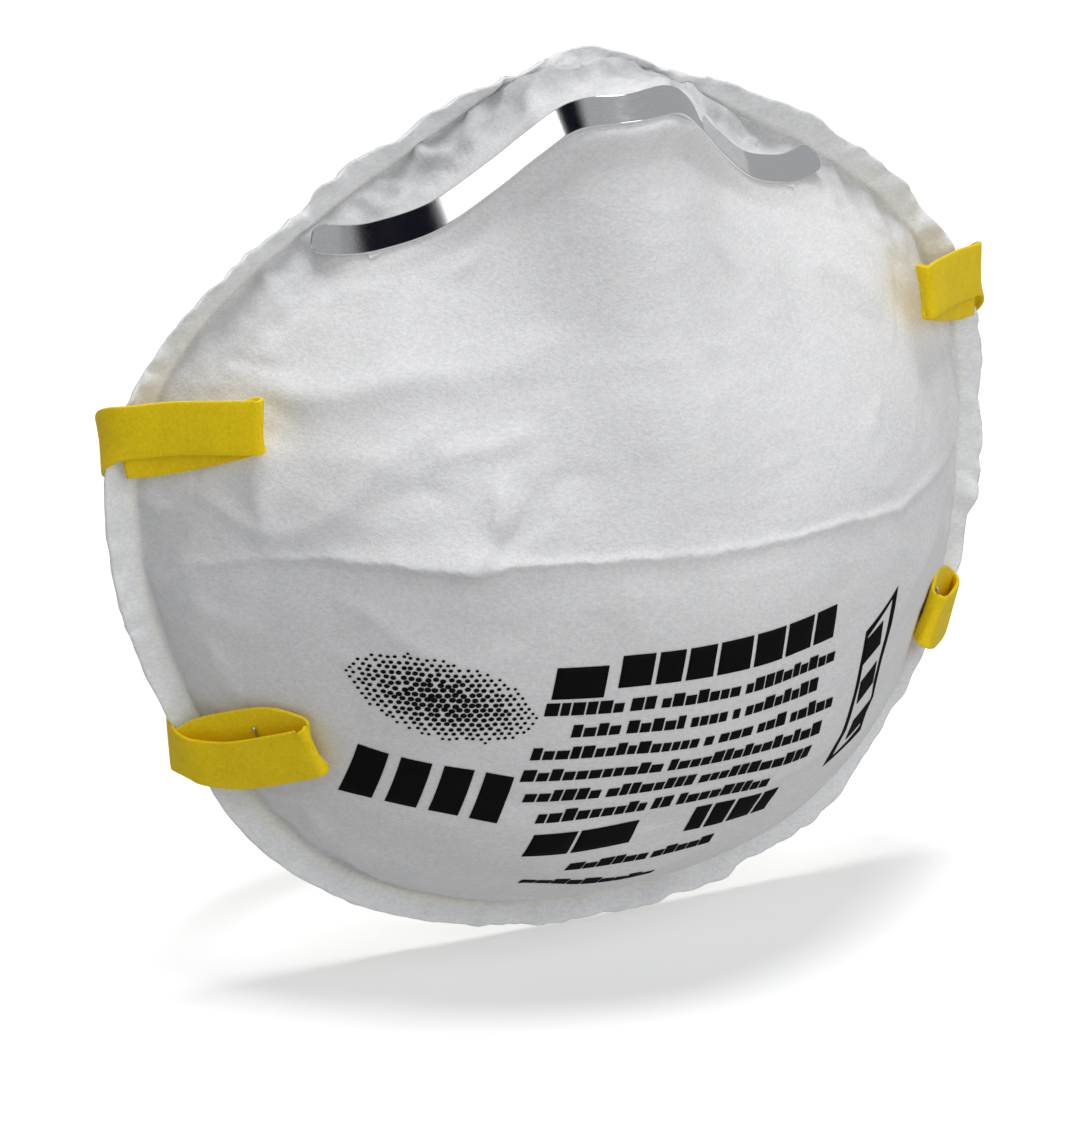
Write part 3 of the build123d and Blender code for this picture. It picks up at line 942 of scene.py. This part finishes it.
def barRows():
    # rows of small blocks of two heights, in groups, leaning a little like slanted type
    quads = []
    for left, middle, length, tall, count in printing["lines"]:
        gap = 0.13 * tall if count > 1 else 0.0
        breaks = rng.uniform(size=count) < (0.17 if count > 8 else 0.0)
        breaks[:3] = False
        breaks[-3:] = False
        parts = rng.uniform(0.8, 1.3, count)
        parts = parts / parts.sum() * (length - gap * count - breaks.sum() * tall * 0.35)
        start = left
        for part, wordEnd, low in zip(parts, breaks, rng.uniform(size=count) < 0.55):
            bottom = middle - tall / 2
            top = bottom + tall * (0.72 if low and count > 8 else 1.0)
            shift = printing["slant"] * (top - bottom)
            end = start + part
            quads.append(((start, bottom), (end, bottom), (end + shift, top), (start + shift, top)))
            start += part + gap + (tall * 0.35 if wordEnd else 0.0)
    return quads


barFlat, barFaces = patchQuads(barRows(), 5)
printObject("printedBars", barFlat, barFaces)

outer = np.array(printing["frame"])
inner = outer.mean(0) + (outer - outer.mean(0)) * np.array(printing["frameHole"])
frameQuads = [(outer[k], outer[(k + 1) % 4], inner[(k + 1) % 4], inner[k]) for k in range(4)]
for height in printing["frameBarHeights"]:
    frameQuads.append(np.array(printing["frameBar"]) + outer.mean(0) + np.array([0.0, height]))
frameFlat, frameFaces = patchQuads(frameQuads, 8)
printObject("printedFrame", frameFlat, frameFaces)

firstBlock = np.array(printing["block"]) + printing["blockStart"]
blocks = [firstBlock + np.array(printing["blockStep"]) * index for index in range(printing["blockCount"])]
blockFlat, blockFaces = patchQuads(blocks, 10)
printObject("printedBlocks", blockFlat, blockFaces)


def stipple():
    # a honeycomb of dots over a leaning oval, the dots largest in its middle
    pitch = printing["dotPitch"]
    column, row = np.meshgrid(np.arange(-14, 15), np.arange(-14, 15), indexing="ij")
    x = (column + 0.5 * (row % 2)) * pitch
    z = row * pitch * 0.87
    x = x + rng.normal(0, 0.07, x.shape)
    z = z + rng.normal(0, 0.07, z.shape)
    wide, tall = printing["oval"]
    inside = (x / wide) ** 2 + ((z + 0.3 * x) / tall) ** 2
    keep = inside < 1.0
    return np.stack([x[keep], z[keep]], -1) + printing["ovalMiddle"], inside[keep]


dots, spread = stipple()
dotCorners = 8
angle = np.linspace(0, 2 * math.pi, dotCorners, endpoint=False)
rim = np.stack([np.cos(angle), np.sin(angle)], -1)
dotSize = printing["dot"] * (1.45 - 0.75 * spread)
dotFlat = (dots[:, None] + rim[None] * dotSize[:, None, None]).reshape(-1, 2)
dotFaces = np.arange(len(dots) * dotCorners).reshape(-1, dotCorners)
printObject("printedDots", dotFlat, dotFaces)
print("printing made")

# finishes for the pieces kept from the solid model
hotMelt = plainFinish("hot_melt_glue", (0.80, 0.79, 0.74, 1), 0.35, scale=500.0, deep=0.0001)
fluff = plainFinish("filter_fluff", (0.82, 0.82, 0.82, 1), 0.95, scale=1200.0, deep=0.0001)
kept = {"clip_glue": hotMelt, "filter_web": fluff}
for node, finish in kept.items():
    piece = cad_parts[node]
    if not piece.material_slots:
        piece.data.materials.append(finish)
    for slot in piece.material_slots:
        slot.material = finish

# floor, light and camera
studio = {
    "floorZ": float(cadLow[2]) - 0.0006,
    "distance": 1.5,
    "lens": 366.9,
    "azimuth": 22.0,
    "elevation": 17.55,
    "roll": 3.23,
    "aimRight": -0.00144,
    "aimUp": -0.0142,
}
floorMesh = bpy.data.meshes.new("floor")
far = 6.0
floorCorners = ((-far, -far), (far, -far), (far, far), (-far, far))
floorMesh.from_pydata([(x, y, studio["floorZ"]) for x, y in floorCorners], [], [(0, 1, 2, 3)])
floor = bpy.data.objects.new("floor", floorMesh)
bpy.context.scene.collection.objects.link(floor)
paper = plainFinish("pale_paper", (0.93, 0.93, 0.93, 1), 0.9, scale=30.0, speckle=0.004, deep=0.0001)
paper.node_tree.nodes["Principled BSDF"].inputs["Emission Color"].default_value = (1, 1, 1, 1)
paper.node_tree.nodes["Principled BSDF"].inputs["Emission Strength"].default_value = 0.24
floorMesh.materials.append(paper)
floor.visible_glossy = False
floor.visible_diffuse = False  # the lit table keeps its glow off the mask


def sunLight(name, heading, spread, strength):
    lamp = bpy.data.lights.new(name, "SUN")
    lamp.angle = math.radians(spread)
    lamp.energy = strength
    made = bpy.data.objects.new(name, lamp)
    made.rotation_euler = Vector(heading).to_track_quat("Z", "Y").to_euler()
    made.location = Vector(heading) * 2
    bpy.context.scene.collection.objects.link(made)
    return made


sunLight("topLight", (0.05, -0.06, 0.99), 26.0, 1.8)
sunLight("frontLight", (0.16, -0.85, 0.5), 45.0, 0.85)

world = bpy.data.worlds.new("studio")
bpy.context.scene.world = world
world.use_nodes = True
sky = world.node_tree
backing = sky.nodes["Background"]
heading = sky.nodes.new("ShaderNodeTexCoord")


def patch(direction, inner, outer, first, second):
    # a soft round area of the surroundings round one direction, laid over the colour so far
    facing = sky.nodes.new("ShaderNodeVectorMath")
    facing.operation = "DOT_PRODUCT"
    facing.inputs[1].default_value = Vector(direction).normalized()
    sky.links.new(heading.outputs["Generated"], facing.inputs[0])
    soft = sky.nodes.new("ShaderNodeMapRange")
    soft.interpolation_type = "SMOOTHSTEP"
    soft.inputs[1].default_value = math.cos(math.radians(outer))
    soft.inputs[2].default_value = math.cos(math.radians(inner))
    sky.links.new(facing.outputs["Value"], soft.inputs[0])
    mixed = sky.nodes.new("ShaderNodeMix")
    mixed.data_type = "RGBA"
    sky.links.new(soft.outputs[0], mixed.inputs[0])
    if isinstance(first, tuple):
        mixed.inputs[6].default_value = first
    else:
        sky.links.new(first, mixed.inputs[6])
    mixed.inputs[7].default_value = second
    return mixed.outputs[2]


greyRoom = (0.37, 0.375, 0.385, 1)
dim = patch((-0.74, -0.14, 0.66), 8, 19, greyRoom, (0.005, 0.005, 0.01, 1))
lit = patch((-0.92, 0.2, 0.35), 11, 13, dim, (1.6, 1.6, 1.6, 1))
below = patch((0.1, -0.5, -0.86), 20, 75, lit, (0.62, 0.62, 0.62, 1))
sky.links.new(below, backing.inputs["Color"])
backing.inputs["Strength"].default_value = 1.0

a, e, r = (math.radians(studio[key]) for key in ("azimuth", "elevation", "roll"))
rightway = Vector((math.cos(a), -math.sin(a), 0))
upway = Vector((math.sin(a) * math.sin(e), math.cos(a) * math.sin(e), math.cos(e)))
forward = Vector((math.sin(a) * math.cos(e), math.cos(a) * math.cos(e), -math.sin(e)))
camRight = rightway * math.cos(r) - upway * math.sin(r)
camUp = rightway * math.sin(r) + upway * math.cos(r)
lensData = bpy.data.cameras.new("camera")
lensData.lens = studio["lens"]
lensData.sensor_fit = "HORIZONTAL"
lensData.sensor_width = 36.0
lensData.clip_end = 30.0
camera = bpy.data.objects.new("camera", lensData)
place = camRight * studio["aimRight"] + camUp * studio["aimUp"] - forward * studio["distance"]
camera.matrix_world = Matrix.Translation(place) @ Matrix((camRight, camUp, -forward)).transposed().to_4x4()
bpy.context.scene.collection.objects.link(camera)
bpy.context.scene.camera = camera
bpy.context.scene.view_settings.view_transform = "Standard"
print("studio made")
